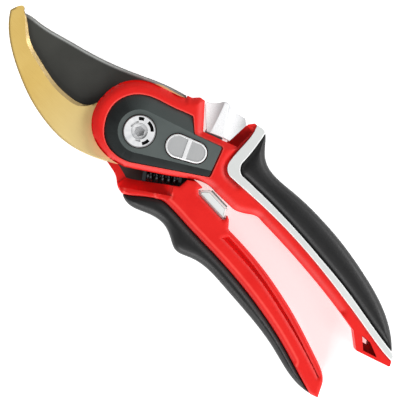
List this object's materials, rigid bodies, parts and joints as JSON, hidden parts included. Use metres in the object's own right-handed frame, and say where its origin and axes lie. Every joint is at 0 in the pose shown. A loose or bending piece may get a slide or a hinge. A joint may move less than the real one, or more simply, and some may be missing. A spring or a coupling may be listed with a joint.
{
  "type": "pruning shears",
  "caption": "Bypass pruning shears with a curved hook and blade, padded handles, sliding thumb lock, rocking opening selector and an enclosed return spring.",
  "frame": {"origin": "where the pivot axis meets the surface that the shears lie on: the centre of the pivot bolt's flat head", "axes": "+X from the pivot towards the handle ends, +Y towards the thumb handle, +Z along the pivot axis out of the front face"},
  "size_m": [0.217, 0.0647, 0.019],
  "materials": {
    "gold_steel": "gold-coloured coating, lightly brushed",
    "red": "glossy red moulding",
    "dark_panel": "satin dark grey",
    "light_trim": "satin light grey",
    "soft_grip": "soft black elastomer",
    "bolt_steel": "turned steel",
    "chrome": "bright plate",
    "plain_steel": "plain steel",
    "spring_steel": "blackened spring steel",
    "white_lock": "pearl white",
    "grey_pad": "satin grey",
    "black_blade": "black non-stick coating, bright ground spine",
    "bronze": "oil bronze",
    "silver_stop": "bright cast alloy"
  },
  "bodies": {
    "hook_half": {"hook_plate": "gold_steel", "thumb_handle_front_shell": "red", "thumb_handle_back_shell": "red", "head_insert": "dark_panel", "thumb_handle_trim": "light_trim", "thumb_grip": "soft_grip", "pivot_bolt": "bolt_steel", "pivot_nut": "chrome", "lock_washer": "plain_steel", "thrust_washer": "plain_steel", "thumb_handle_screws": "plain_steel", "hook_rivets": "plain_steel", "fixed_spring_seat": "plain_steel", "selector_pin": "plain_steel", "return_spring": "spring_steel"},
    "blade_half": {"cutting_blade": "black_blade", "pivot_bush": "bronze", "finger_handle_front_shell": "red", "finger_handle_back_shell": "red", "finger_grip": "soft_grip", "bumper": "silver_stop", "bumper_pad": "grey_pad", "moving_spring_seat": "plain_steel", "blade_rivets": "plain_steel", "finger_handle_screws": "plain_steel"},
    "lock_slide": {"thumb_lock": "white_lock", "lock_latch": "plain_steel", "latch_pin": "plain_steel"},
    "selector": {"opening_selector": "white_lock", "selector_pads": "grey_pad", "selector_stop": "plain_steel"}
  },
  "joints": [
    {"name": "main_pivot", "type": "hinge", "parent": "hook_half", "child": "blade_half", "pos_m": [0, 0, 0], "axis": [0, 0, -1], "range_deg": [0, 30], "deforming": ["return_spring"]},
    {"name": "thumb_lock_slide", "type": "slide", "parent": "hook_half", "child": "lock_slide", "axis": [0.9135, 0.4067, 0], "range_m": [0, 0.0036]},
    {"name": "selector_rock", "type": "hinge", "parent": "hook_half", "child": "selector", "pos_m": [0.019, 0.0093, 0.0164], "axis": [-0.454, 0.891, 0], "range_deg": [-5, 5]}
  ]
}
